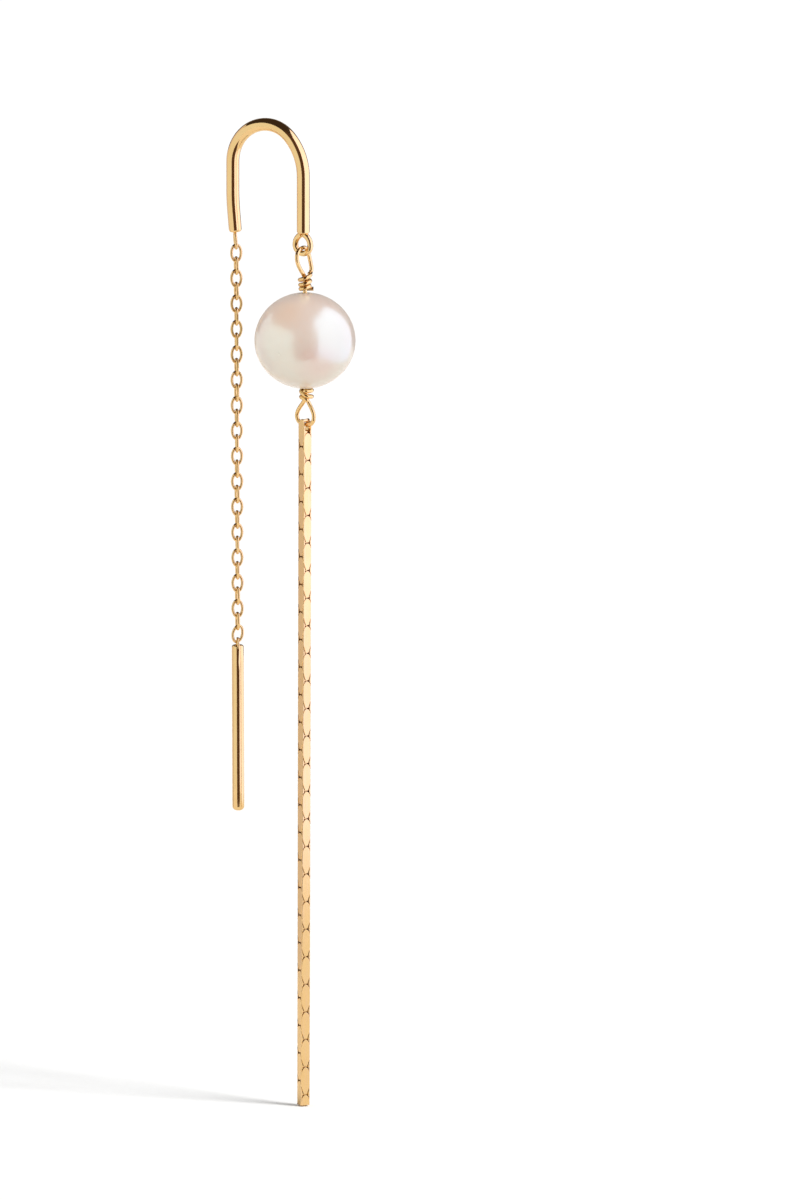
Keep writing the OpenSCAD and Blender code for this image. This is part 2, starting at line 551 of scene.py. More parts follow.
    def hung(self, piece: Object) -> Object:
        """Leans the upright chain or bar a little towards the pearl, from its first link."""
        place = Matrix.Translation(mm(self.foot_x(), 0, self.first_link_z))
        return copies(piece, [place @ turned(self.hang_lean, "Y") @ place.inverted()])[0]

    def ear_wire(self) -> Object:
        """Solders the ring and the chain's first link to the U of wire.

        Returns:
            The piece that stands for the ear wire.
        """
        first = CableLink(sides=16, end_steps=12)
        low_end = Matrix.Translation(mm(0, 0, -first.length / 2))
        place = Matrix.Translation(mm(self.foot_x(), 0, self.first_link_z + self.link_pitch))
        place = place @ low_end @ turned(self.first_link_tilt, "Y") @ low_end.inverted()
        (link,) = copies(first.build(), [place @ turned(self.link_angle(-1))])
        top = mm(self.leg_x - self.ring_shift, 0, self.pearl_leg_end + self.overlap)
        drop = self.solder(top, self.solder_d, self.solder_h)
        return fuse("hook_wire", [self.hook(), drop, self.ring(), link])

    def cable_chain(self) -> Object:
        """Hangs the loose links, each turned a quarter to the one above.

        Returns:
            The piece that stands for the cable chain.
        """
        places = [
            Matrix.Translation(mm(self.foot_x(), 0, self.first_link_z - i * self.link_pitch))
            @ turned(self.link_angle(i))
            for i in range(self.link_count)
        ]
        places[-1] = places[-1] @ turned(self.last_link_tilt, "Y")
        return self.hung(join("cable_links", copies(CableLink().build(), places)))

    def bar(self) -> Object:
        """Turns the bar with its rounded shoulder and tip, and solders the eye in its top.

        Returns:
            The piece that stands for the bar.
        """
        eye_z = self.first_link_z - self.link_count * self.link_pitch
        top = eye_z + self.eye_sink
        shaft = Wire(self.bar_d, self.sides).start(mm(self.foot_x(), 0, top))
        shaft.draw(mm(0, 0, self.bar_tip - self.bar_len), steps=6)
        steps, flat = 8, 2 * self.tip_flat / self.bar_d
        sweep = [math.radians(90 * i / steps) for i in range(steps + 1)]
        for a, b in zip(sweep, sweep[1:]):
            grow = (flat + (1 - flat) * math.cos(b)) / (flat + (1 - flat) * math.cos(a))
            shaft.draw(mm(0, 0, self.bar_tip * (math.sin(a) - math.sin(b))), grow=grow)
        piece = shaft.finish(closed=False)
        round_rim(piece, mm(self.foot_x(), 0, top), Vector((0, 0, 1)), self.bar_shoulder)
        place = Matrix.Translation(mm(self.foot_x(), 0, eye_z))
        place = place @ turned(self.link_angle(self.link_count))
        link = CableLink(wire=self.eye_wire, sides=16, end_steps=12).build()
        (eye,) = copies(link, [place])
        foot = mm(self.foot_x(), 0, top - self.overlap)
        drop = self.solder(foot, self.eye_solder_d, -self.eye_solder_h)
        return self.hung(fuse("needle_bar", [piece, drop, eye]))


class LoopPoint(NamedTuple):
    """Place on a wire loop: how far to one side of the drop's axis, and the level."""

    side: float
    level: float


class Wrap(NamedTuple):
    """Place on a wrap round the drop's axis."""

    angle: float
    level: float
    radius: float

    def point(self) -> Vector:
        """The place in millimetres from the drop's axis."""
        return turned(self.angle) @ Vector((self.radius, 0, self.level))


# Levels of the upper loop's crossing and top, and of the lower loop's crossing and bottom
UPPER_CROSSING, UPPER_TOP, LOWER_CROSSING, LOWER_BOTTOM = -11.62, -9.17, -21.3, -23.51
# From the core, up the front leg, over the top and down the back leg to the wraps
UPPER_LOOP = (
    LoopPoint(0.0, -12.0),
    LoopPoint(-0.05, UPPER_CROSSING),
    LoopPoint(-0.32, -11.24),
    LoopPoint(-0.69, -10.84),
    LoopPoint(-1.03, -10.35),
    LoopPoint(-1.16, -9.9),
    LoopPoint(-1.03, -9.5),
    LoopPoint(-0.68, -9.26),
    LoopPoint(-0.25, UPPER_TOP),
    LoopPoint(0.08, -9.2),
    LoopPoint(0.38, -9.38),
    LoopPoint(0.62, -9.7),
    LoopPoint(0.8, -10.16),
    LoopPoint(0.95, -10.62),
    LoopPoint(1.02, -11.02),
    LoopPoint(0.93, -11.27),
)
# Two and a half turns downwards, the first two wide and the last one closer to the core
UPPER_WRAPS = (
    Wrap(60, -11.33, 0.42),
    Wrap(31, -11.41, 0.42),
    Wrap(-59, -11.58, 0.42),
    Wrap(-149, -11.8, 0.42),
    Wrap(-239, -11.84, 0.42),
    Wrap(-329, -11.88, 0.41),
    Wrap(-419, -12.03, 0.39),
    Wrap(-509, -12.2, 0.39),
    Wrap(-599, -12.23, 0.36),
    Wrap(-689, -12.27, 0.35),
    Wrap(-779, -12.4, 0.35),
    Wrap(-869, -12.53, 0.36),
    Wrap(-959, -12.56, 0.34),
)
LOWER_LEG = (
    LoopPoint(-0.45, -21.85),
    LoopPoint(-0.8, -22.25),
    LoopPoint(-1.02, -22.6),
    LoopPoint(-1.07, -22.9),
    LoopPoint(-0.95, -23.2),
    LoopPoint(-0.65, -23.42),
    LoopPoint(-0.3, -23.5),
)
# From the core, down the left leg, round the bottom and up the right leg
LOWER_LOOP = (
    LoopPoint(0.0, -21.0),
    LoopPoint(0.0, LOWER_CROSSING),
    LoopPoint(-0.12, -21.45),
    *LOWER_LEG,
    LoopPoint(0.0, LOWER_BOTTOM),
    *(LoopPoint(-p.side, p.level) for p in reversed(LOWER_LEG)),
)
# Two turns upwards with a gap between them, tucked in under the pearl
LOWER_WRAPS = (
    Wrap(-40, -21.56, 0.33),
    Wrap(-59, -21.44, 0.37),
    Wrap(-149, -21.27, 0.43),
    Wrap(-239, -21.26, 0.43),
    Wrap(-329, -21.24, 0.43),
    Wrap(-419, -21.12, 0.44),
    Wrap(-509, -20.8, 0.43),
    Wrap(-599, -20.73, 0.42),
    Wrap(-689, -20.73, 0.43),
    Wrap(-779, -20.73, 0.43),
    Wrap(-806, -20.72, 0.43),
)


@dataclass
class PearlDrop:
    """What hangs from the ring: the pearl, its wire and the square chain."""

    # The pearl and its hole
    drop_x: float = 3.39
    pearl_w: float = 8.09
    pearl_h: float = 7.72
    pearl_z: float = -16.7
    bore_d: float = 0.46
    bore_round: float = 0.03
    # The wire: its cut tail, the lean of its upper loop and the shift of its lower wraps
    pin_d: float = 0.33
    tail_out: float = 0.68
    tail_shares: tuple[float, ...] = (0.4, 0.7, 1.0)
    upper_lean: float = -0.08
    lower_shift: float = 0.12
    view_turn: float = 31.0
    # The square chain
    square_w: float = 0.76
    square_pitch: float = 2.2334
    square_count: int = 50
    first_square_z: float = -24.13
    square_turn: float = -20.0
    square_twist: float = -14.0
    square_lean: float = -0.15
    square_end: float = -78.6
    gap: float = 0.102
    core_play: float = 0.08
    core_h: float = 0.5
    # Its rungs, which run a little way into the plates, and the hidden waist
    rung_d: float = 0.24
    rung_sink: float = 0.06
    rung_round: float = 0.02
    waist_d: float = 0.36
    # Its plates, and the cuts across them: angles up the arch, levels and shares of the tip
    plate_t: float = 0.15
    plate_gap: float = 0.06
    seam: float = 0.06
    rim: float = 0.035
    arch_h: float = 0.6
    arch_angles: tuple[float, ...] = (76, 60, 44, 30, 15, 0)
    flank_cuts: tuple[float, ...] = (
        0.42, 0.33, 0.24, 0.14, -0.11, -0.15, -0.19, -0.23, -0.4, -0.55, -0.75
    )
    taper_from: float = 0.4
    taper_power: float = 1.1
    tip_half: float = 0.15
    tip_round: float = 0.08
    tip_cuts: tuple[float, ...] = (1, 0.6, 0.25)
    end_half: float = 0.046
    inner_half: float = 0.18
    side_depth: tuple[float, float] = (0.042, 0.138)

    def pearl(self) -> Object:
        """Grows the pearl, drills it through and breaks the edges of the hole.

        Returns:
            The piece that stands for the pearl.
        """
        rings = round(180 / math.degrees(math.asin(self.bore_d / self.pearl_w)))
        piece = added(
            bpy.ops.mesh.primitive_uv_sphere_add,
            Vector((1, 1, self.pearl_h / self.pearl_w)),
            segments=96,
            ring_count=rings,
            radius=self.pearl_w / 2 * MM,
            location=mm(self.drop_x, 0, self.pearl_z),
        )
        piece.name = piece.data.name = "pearl_bead"
        axis = Vector((self.drop_x, 0))
        play = 0.01

        def at_pole(a: Vector, b: Vector) -> bool:
            """Tells an edge that ends in one of the sphere's two poles."""
            return min((a.xy - axis).length, (b.xy - axis).length) < self.bore_d / 4

        def on_rim(a: Vector, b: Vector) -> bool:
            """Tells an edge that runs round one of the hole's two mouths."""
            out = max((a.xy - axis).length, (b.xy - axis).length)
            return out < self.bore_d / 2 + 2 * play and abs(a.z - b.z) < play

        with edit_mode(piece):
            select(piece, Kind.EDGE, at_pole)
            bpy.ops.mesh.select_mode(type="VERT")
            bpy.ops.mesh.select_less()
            bpy.ops.mesh.delete(type="VERT")
            bpy.ops.mesh.select_mode(type="EDGE")
            bpy.ops.mesh.select_all(action="DESELECT")
            bpy.ops.mesh.select_non_manifold()
            bpy.ops.mesh.bridge_edge_loops()
            select(piece, Kind.EDGE, on_rim)
            bpy.ops.mesh.bevel(offset=self.bore_round * MM, segments=3, affect="EDGES")
        tidy_mesh(piece)
        return piece

    def wire_route(self) -> list[Vector]:
        """The pearl wire's middle line, from the cut tail above to the tucked end below.

        The upper loop leans a little out of its plane at its top. The lower loop hangs true
        on the chain, and its crossing and wraps are pushed a little to one side.

        Returns:
            Points in millimetres from the drop's axis.
        """
        lean = self.upper_lean / (UPPER_TOP - UPPER_CROSSING)
        upper = [
            Vector((lean * max(0.0, p.level - UPPER_CROSSING), p.side, p.level))
            for p in UPPER_LOOP
        ]
        upper += [wrap.point() for wrap in UPPER_WRAPS]
        heading = turned(self.view_turn) @ Vector((self.tail_out, 0, 0))
        upper += [upper[-1] + heading * share for share in self.tail_shares]
        half = self.pearl_h / 2
        pin = [Vector((0, 0, self.pearl_z + z)) for z in (half, 0, -half)]
        aside = turned(self.view_turn) @ Vector((self.lower_shift, 0, 0))
        rise = LOWER_CROSSING - LOWER_BOTTOM
        lower = [
            turned(self.square_turn) @ Vector((p.side, 0, p.level))
            + aside * min(1.0, (p.level - LOWER_BOTTOM) / rise)
            for p in LOWER_LOOP
        ]
        lower += [wrap.point() + aside for wrap in LOWER_WRAPS]
        return upper[::-1] + pin + lower

    def wire(self) -> Object:
        """Draws the one wire through the pearl and round both its loops.

        Returns:
            The piece that stands for the pearl wire.
        """
        line = added(bpy.ops.curve.primitive_bezier_curve_add)
        line.name = line.data.name = "wrapped_wire"
        line.data.splines.clear()
        route = self.wire_route()
        spline = line.data.splines.new("BEZIER")
        spline.bezier_points.add(len(route) - 1)
        for knot, place in zip(spline.bezier_points, route):
            knot.co = (place + Vector((self.drop_x, 0, 0))) * MM
        spline.resolution_u = 6
        with edit_mode(line):
            bpy.ops.curve.select_all(action="SELECT")
            bpy.ops.curve.handle_type_set(type="AUTOMATIC")
        line.data.dimensions = "3D"
        line.data.twist_mode = "MINIMUM"
        line.data.bevel_depth = self.pin_d / 2 * MM
        line.data.bevel_resolution = 4
        line.data.use_fill_caps = True
        settle(line)
        bpy.ops.object.convert(target="MESH")
        piece = bpy.context.active_object
        tidy_mesh(piece)
        return piece

    def _half_width(self, z: float) -> float:
        """Half a plate's width at a level: a round arch above, and a narrow tip below.

        Args:
            z: Level from the plate's middle, in millimetres.

        Returns:
            Half the width in millimetres, and 0 past the plate's ends.
        """
        middle = self.square_w / 2
        reach = (self.square_pitch - self.plate_gap) / 2
        if abs(z) > reach:
            return 0.0
        if z > reach - self.arch_h:
            return middle * math.sqrt(1 - ((z - reach) / self.arch_h + 1) ** 2)
        slope = max(0.0, -z - self.taper_from) / (reach - self.taper_from)
        half = middle - (middle - self.tip_half) * slope**self.taper_power
        left = min(1.0, (reach + z) / self.tip_round)
        return half - self.tip_round * (1 - math.sqrt(1 - (1 - left) ** 2))

    def _side_depth(self, z: float) -> float:
        """How deep a plate's long edge shows on the next side, beside the plate there."""
        step = self.square_pitch / 2
        beside = self._half_width(z - step if z > 0 else z + step)
        shallow, deep = self.side_depth
        return min(deep, max(shallow, self.square_w / 2 - beside - self.seam))

    def _plate(self) -> Object:
        """Stamps one plate of a square link, with a round top, a narrow tip and folded edges.

        Returns:
            The plate's mesh, whose outer face looks along Y.
        """
        outer = self.square_w / 2
        reach = (self.square_pitch - self.plate_gap) / 2
        arch = [math.sin(math.radians(angle)) for angle in self.arch_angles]
        rows = [reach - self.arch_h * (1 - share) for share in arch]
        rows += self.flank_cuts
        rows += [-reach + self.tip_round * share for share in self.tip_cuts]
        piece = added(
            bpy.ops.mesh.primitive_plane_add,
            mm(2, 2 * reach, 1),
            size=1,
            location=mm(0, outer, 0),
            rotation=(-math.pi / 2, 0, 0),
        )
        with edit_mode(piece):
            for row in rows:
                bpy.ops.mesh.select_all(action="SELECT")
                bpy.ops.mesh.bisect(
                    plane_co=mm(0, outer, row), plane_no=(0, 0, 1), threshold=WELD
                )
            rows += [reach, -reach]
            halves = {row: max(self._half_width(row), self.end_half) for row in rows}
            for row, half in halves.items():
                self._move_row(piece, row, outer, half, 0)
            self._push_in(piece, outer, self.plate_t)
            below = outer - self.plate_t / 2
            for row in rows:
                self._move_row(piece, row, below, 1, self.plate_t - self._side_depth(row))
            self._push_in(piece, outer - self.side_depth[0] / 2, 2 * self.plate_t)
            below = outer - self.plate_t * 1.5
            for row, half in halves.items():
                narrow = min(1.0, self.inner_half / half)
                self._move_row(piece, row, below, narrow, self.plate_t + self._side_depth(row))
            bpy.ops.mesh.select_all(action="SELECT")
            bpy.ops.mesh.normals_make_consistent(inside=False)
            select(piece, Kind.FACE, lambda centre, normal: normal.y > FACING)
            bpy.ops.mesh.region_to_loop()
            bpy.ops.mesh.bevel(offset=self.rim * MM, segments=2, affect="EDGES")
        return piece

    def _push_in(self, piece: Object, below: float, depth: float) -> None:
        """Extrudes an open plate's innermost faces, which lie below a level, straight in."""
        select(
            piece,
            Kind.FACE,
            lambda centre, normal: abs(normal.y) > FACING and centre.y < below + NEAR,
        )
        bpy.ops.mesh.extrude_region_move(TRANSFORM_OT_translate={"value": mm(0, -depth, 0)})

    def _move_row(self, piece: Object, row: float, below: float, narrow: float, out: float) -> None:
        """Moves one cross row of a plate's newest layer.

        Args:
            piece: The plate, open in edit mode.
            row: The row's level.
            below: The layer lies no further out than this.
            narrow: What the row's width is multiplied by.
            out: How far it moves outwards.
        """
        select(
            piece,
            Kind.EDGE,
            lambda a, b: max(abs(a.z - row), abs(b.z - row)) < NEAR
            and max(a.y, b.y) < below + NEAR,
        )
        bpy.ops.transform.resize(value=(narrow, 1, 1), center_override=mm(0, 0, row))
        bpy.ops.transform.translate(value=mm(0, out, 0))

    def _square_link(self, upper_rung: float) -> Object:
        """Puts a square link together: two plates, the two rungs between them and a waist.

        Args:
            upper_rung: Level of the upper rung.

        Returns:
            The link's mesh, centred on the origin.
        """
        half_rung = self.square_w / 2 - self.plate_t + self.rung_sink
        lower_rung = -(self.square_pitch / 2 + self.rung_d + self.gap) / 2
        parts = copies(self._plate(), [turned(0), turned(180)])
        rungs = {upper_rung: self.rung_d, 0.0: self.waist_d, lower_rung: self.rung_d}
        for level, diameter in rungs.items():
            rung = added(
                bpy.ops.mesh.primitive_cylinder_add,
                vertices=14,
                radius=diameter / 2 * MM,
                depth=2 * half_rung * MM,
                location=mm(0, 0, level),
                rotation=(math.pi / 2, 0, 0),
            )
            with edit_mode(rung):
                select(rung, Kind.EDGE, lambda a, b: abs(a.y - b.y) < NEAR)
                bpy.ops.mesh.bevel(offset=self.rung_round * MM, segments=1, affect="EDGES")
            parts.append(rung)
        return fuse("square_link", parts)

    def _block(self, width: float, height: float, foot: Matrix, side: float) -> Object:
        """Makes a square block above the chain's cut end, or below it where side is -1."""
        block = added(
            bpy.ops.mesh.primitive_cube_add,
            mm(width, width, height),
            size=1,
            location=mm(0, 0, side * height / 2),
        )
        return copies(block, [foot])[0]

    def _link_place(self, i: int) -> Matrix:
        """Where a square link hangs, counted from the top; the chain leans and twists a little."""
        share = i / (self.square_count - 1)
        level = self.first_square_z - i * self.square_pitch / 2
        place = Matrix.Translation(mm(self.drop_x + self.square_lean * share, 0, level))
        return place @ turned(self.square_turn + self.square_twist * share + 90 * (i % 2))

    def square_chain(self) -> Object:
        """Links the square chain, solders its last two links and cuts the end flat.

        Returns:
            The piece that stands for the square chain.
        """
        rung = (self.square_pitch / 2 + self.rung_d + self.gap) / 2
        top_rung = (self.square_pitch - self.gap - self.rung_d) / 2
        links = copies(self._square_link(top_rung), [self._link_place(0)])
        loose = [self._link_place(i) for i in range(1, self.square_count - 2)]
        links += copies(self._square_link(rung), loose)
        last = [self._link_place(i) for i in range(self.square_count - 2, self.square_count)]
        ends = copies(self._square_link(rung), last)
        foot = Matrix.Translation(mm(self.drop_x + self.square_lean, 0, self.square_end))
        foot = foot @ turned(self.square_turn + self.square_twist)
        core = self._block(self.square_w - self.core_play, self.core_h, foot, 1)
        end = fuse("chain_end", [*ends, core])
        below = self._block(2 * self.square_w, 2 * self.square_pitch, foot, -1)
        combine(end, below, Change.CUT)
        return join("square_links", [*links, end])


def add_node(
    tree: NodeTree,
    kind: str,
    sockets: dict[str | int, object] | None = None,
    out: str | int = 0,
    **settings: object,
) -> NodeSocket:
    """Adds one node with its settings, values and links.

    Args:
        tree: The node tree it goes in.
        kind: The node's type.
        sockets: Value or linked output socket for each named or numbered input.
        out: The output that is wanted.
        settings: The node's own properties.

    Returns:
        That output socket.
    """
    made = tree.nodes.new(kind)
    for name, value in settings.items():
        setattr(made, name, value)
    for name, value in (sockets or {}).items():
        if isinstance(value, NodeSocket):
            tree.links.new(value, made.inputs[name])
        else:
            made.inputs[name].default_value = value
    return made.outputs[out]


def per_mm(size: float) -> float:
    """Texture scale at which a pattern repeats about once in a size given in millimetres."""
    return 1 / (size * MM)


def new_material(name: str) -> tuple[Material, NodeTree, Node]:
    """Starts a material.

    Args:
        name: The material's name.

    Returns:
        The material, its node tree and its Principled shader.
    """
    material = bpy.data.materials.new(name)
    material.use_nodes = True
    return material, material.node_tree, material.node_tree.nodes["Principled BSDF"]


@dataclass(frozen=True)
class GoldPlate:
    """Gold plate on silver, polished bright.

    Plating follows what lies under it: it is mirror-like, with a slow waviness left by
    hammer, mandrel or rollers, and hairlines left by polishing and wear. Where it is thin
    or rubbed it turns paler or rosier. Its sizes are in millimetres. Real hairlines are some
    hundredths of a millimetre apart, and are drawn as coarse as they need to show.
    """

    slot: str
    name: str
    colour: str = "#F6D79C"
    tarnish: str = "#F0CB8B"
    worn: str = "#F2D2AE"
    roughness: tuple[float, float] = (0.07, 0.13)
    cloud: float = 1.6
    wave: float = 0.9
    wave_depth: float = 0.004
    hairline: float = 0.12
    hairline_length: float = 2.4
    hairline_depth: float = 0.0006
    streak_share: float = 0.3

    def material(self) -> Material:
        """Builds the plate's material.

        Returns:
            The material.
        """
        material, tree, shader = new_material(self.name)
        place = add_node(tree, "ShaderNodeTexCoord", out="Object")
        clouds = {"Vector": place, "Scale": per_mm(self.cloud), "Detail": 3.0}
        cloud = add_node(tree, "ShaderNodeTexNoise", clouds)
        drawn = {"Vector": place, "Scale": (1.0, 1.0, self.hairline / self.hairline_length)}
        along = add_node(tree, "ShaderNodeMapping", drawn)
        lines = {"Vector": along, "Scale": per_mm(self.hairline), "Detail": 2.0}
        hairs = add_node(tree, "ShaderNodeTexNoise", lines)
        tints = {SHARE: cloud, FIRST: linear(self.colour), SECOND: linear(self.tarnish)}
        tone = add_node(tree, "ShaderNodeMix", tints, MIXED, data_type="RGBA")
        faint = {"Value": hairs, "From Min": 0.45, "From Max": 0.75, "To Max": self.streak_share}
        streak = add_node(tree, "ShaderNodeMapRange", faint)
        tints = {SHARE: streak, FIRST: tone, SECOND: linear(self.worn)}
        tone = add_node(tree, "ShaderNodeMix", tints, MIXED, data_type="RGBA")
        smooth, rough = self.roughness
        limits = {"From Min": 0.3, "From Max": 0.7, "To Min": smooth, "To Max": rough}
        limits["Value"] = cloud
        gloss = add_node(tree, "ShaderNodeMapRange", limits)
        slow = {"Vector": place, "Scale": per_mm(self.wave), "Detail": 1.0}
        waves = add_node(tree, "ShaderNodeTexNoise", slow)
        dents = {"Height": waves, "Distance": self.wave_depth * MM}
        swell = add_node(tree, "ShaderNodeBump", dents)
        marks = {"Height": hairs, "Distance": self.hairline_depth * MM, "Normal": swell}
        scratch = add_node(tree, "ShaderNodeBump", marks)
        shader.inputs["Metallic"].default_value = 1.0
        tree.links.new(tone, shader.inputs["Base Color"])
        tree.links.new(gloss, shader.inputs["Roughness"])
        tree.links.new(scratch, shader.inputs["Normal"])
        return material


@dataclass(frozen=True)
class OvertoneShadeCap:
    """Side of the pearl where another overtone shows, as a cap round a direction.

    The caps sit on the sides that face the camera, where the pearl reflects nothing bright, so
    their deeper peach and rose is partly the nacre's overtone and partly painted shade. Each is
    full within one share of the pearl's radius and fades out at another.
    """

    way: tuple[float, float, float]
    colour: str
    full: float
    none: float


@dataclass(frozen=True)
class Nacre:
    """Nacre of a cultured pearl: thin clear layers grown over each other.

    Light is scattered back from a little way in, so the body glows and has no hard shade.
    The layers reflect softly and give what they reflect a cool green tint, which leaves
    the body's rose and peach to show where nothing bright is reflected. Sizes are in
    millimetres. Real growth lines are finer than a tenth of one, and are drawn as coarse
    as they need to show.
    """

    slot: str
    name: str
    body: str = "#E8D2C5"
    cloud: str = "#E4CABD"
    # Peach and rose caps on the sides facing the camera: partly the nacre's overtone, partly
    # painted shade where nothing bright is reflected
    overtone_shade_caps: tuple[OvertoneShadeCap, ...] = (
        OvertoneShadeCap((0.02, -0.77, 0.64), "#E8CAB6", 0.05, 0.52),
        OvertoneShadeCap((0.7, -0.6, -0.38), "#E8C2B8", 0.05, 0.62),
    )
    centre: tuple[float, float, float] = (3.39, 0.0, -16.7)
    radius: float = 4.0
    cloud_size: float = 3.2
    lump_size: float = 4.5
    lump_depth: float = 0.08
    growth_size: float = 0.5
    growth_depth: float = 0.003
    pit: tuple[float, float, float] = (3.35, -4.0, -17.27)
    pit_size: float = 0.13
    pit_depth: float = 0.03

    def near(self, tree: NodeTree, at: Vector, full: float, none: float) -> NodeSocket:
        """A share that depends on how near a place is.

        Args:
            tree: The node tree it goes in.
            at: The place.
            full: Distance at which the share is 1.
            none: Distance at which it is 0.

        Returns:
            The output that holds the share.
        """
        place = add_node(tree, "ShaderNodeTexCoord", out="Object")
        ends = {0: place, 1: at * MM}
        far = add_node(tree, "ShaderNodeVectorMath", ends, "Value", operation="DISTANCE")
        fade = {"Value": far, "From Min": none * MM, "From Max": full * MM}
        return add_node(tree, "ShaderNodeMapRange", fade, interpolation_type="SMOOTHSTEP")

    def material(self) -> Material:
        """Builds the nacre's material.

        Returns:
            The material.
        """
        material, tree, shader = new_material(self.name)
        place = add_node(tree, "ShaderNodeTexCoord", out="Object")
        clouds = {"Vector": place, "Scale": per_mm(self.cloud_size), "Detail": 4.0}
        cloud = add_node(tree, "ShaderNodeTexNoise", clouds)
        tints = {SHARE: cloud, FIRST: linear(self.body), SECOND: linear(self.cloud)}
        tone = add_node(tree, "ShaderNodeMix", tints, MIXED, data_type="RGBA")
        # Mixes in the peach and rose caps, which are partly overtone and partly painted shade
        for overtone_shade in self.overtone_shade_caps:
            middle = Vector(self.centre) + Vector(overtone_shade.way) * self.radius
            cap = self.near(tree, middle, overtone_shade.full * self.radius, overtone_shade.none * self.radius)
            tints = {SHARE: cap, FIRST: tone, SECOND: linear(overtone_shade.colour)}
            tone = add_node(tree, "ShaderNodeMix", tints, MIXED, data_type="RGBA")
        slow = {"Vector": place, "Scale": per_mm(self.lump_size), "Detail": 1.0}
        swell = add_node(tree, "ShaderNodeTexNoise", slow)
        lumps = {"Height": swell, "Distance": self.lump_depth * MM}
        normal = add_node(tree, "ShaderNodeBump", lumps)
        grown = {"Vector": place, "Scale": per_mm(self.growth_size), "Detail": 4.0}
        growth = add_node(tree, "ShaderNodeTexNoise", grown)
        lines = {"Height": growth, "Distance": self.growth_depth * MM, "Normal": normal}
        normal = add_node(tree, "ShaderNodeBump", lines)
        dip = self.near(tree, Vector(self.pit), self.pit_size, 0.0)
        pit = {"Height": dip, "Distance": self.pit_depth * MM, "Normal": normal}
        normal = add_node(tree, "ShaderNodeBump", pit)
        for socket, value in {
            "Roughness": 0.29,
            "IOR": 2.0,
            "Specular IOR Level": 1.0,
            "Specular Tint": linear("#AAFFF9"),
            "Subsurface Weight": 0.5,
            "Subsurface Radius": (1.0, 0.85, 0.75),
            "Subsurface Scale": 1.0 * MM,
            "Coat Weight": 1.0,
            "Coat Roughness": 0.17,
            "Coat IOR": 1.5,
            "Sheen Weight": 0.85,
            "Sheen Roughness": 0.3,
            "Sheen Tint": linear("#F4ECE4"),
        }.items():
            shader.inputs[socket].default_value = value
        tree.links.new(tone, shader.inputs["Base Color"])
        tree.links.new(normal, shader.inputs["Normal"])
        return material


# Tumbled and polished wire of about a millimetre: near mirror, slightly wavy along its length
POLISHED = GoldPlate("gold_polished", "gold_plated_polished_wire", streak_share=0.15)
# Soldered cable links, too small to polish one by one: a little softer and more uneven
LINKS = GoldPlate(
    "gold_chain",
    "gold_plated_cable_links",
    colour="#F2D292",
    roughness=(0.05, 0.1),
    cloud=0.8,
    wave=0.5,
)
# Soft drawn wire, wrapped by hand: it keeps small dents of the pliers
FINE_WIRE = GoldPlate(
    "gold_fine_wire",
    "gold_drawn_fine_wire",
    colour="#F2CF8C",
    roughness=(0.05, 0.1),
    cloud=0.7,
    wave=0.35,
)
# Rolled plates, burnished flat with the whole chain: fine lines run along it
PLATES = GoldPlate(
    "gold_square_chain",
    "gold_plated_rolled_plates",
    roughness=(0.12, 0.2),
    wave_depth=0.002,
    hairline=0.09,
    hairline_depth=0.0012,
    streak_share=0.5,
)
# Pale cultured pearl with a pink to peach overtone, deepened on two sides by painted shade
NACRE = Nacre("pearl", "cultured_pearl_nacre")


def dress(piece: Object, finish: GoldPlate | Nacre, body: Body, node: str, angle: float) -> None:
    """Smooths a piece, gives it its finish and ties it to the frame.

    Args:
        piece: The finished mesh.
        finish: What its surface is.
        body: The body it rides on.
        node: The CAD node it stands for.
        angle: Edges sharper than this, in degrees, stay sharp.
    """
    made = bpy.data.materials.get(finish.name) or finish.material()
    piece.data.materials.clear()
    piece.data.materials.append(made)
    make_active(piece)
    bpy.ops.object.shade_smooth_by_angle(angle=math.radians(angle))
    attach(piece, body.value)
    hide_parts(node)
    LOG.info("%s: %d faces on %s", piece.name, len(piece.data.polygons), body.value)


@dataclass(frozen=True)
class Card:
    """Plain board that only reflections see, in millimetres.

    The azimuth is in degrees from the camera's to the right, and the heights are from the
    floor.
    """

    name: str
    azimuth: float
    distance: float
    width: float
    low: float
    high: float
    radiance: float
    colour: str


class SoftBox(NamedTuple):
    """Light from one side. Angles are in degrees, the azimuth from the camera's to the right."""

    name: str
    azimuth: float
    elevation: float
    angle: float
    strength: float


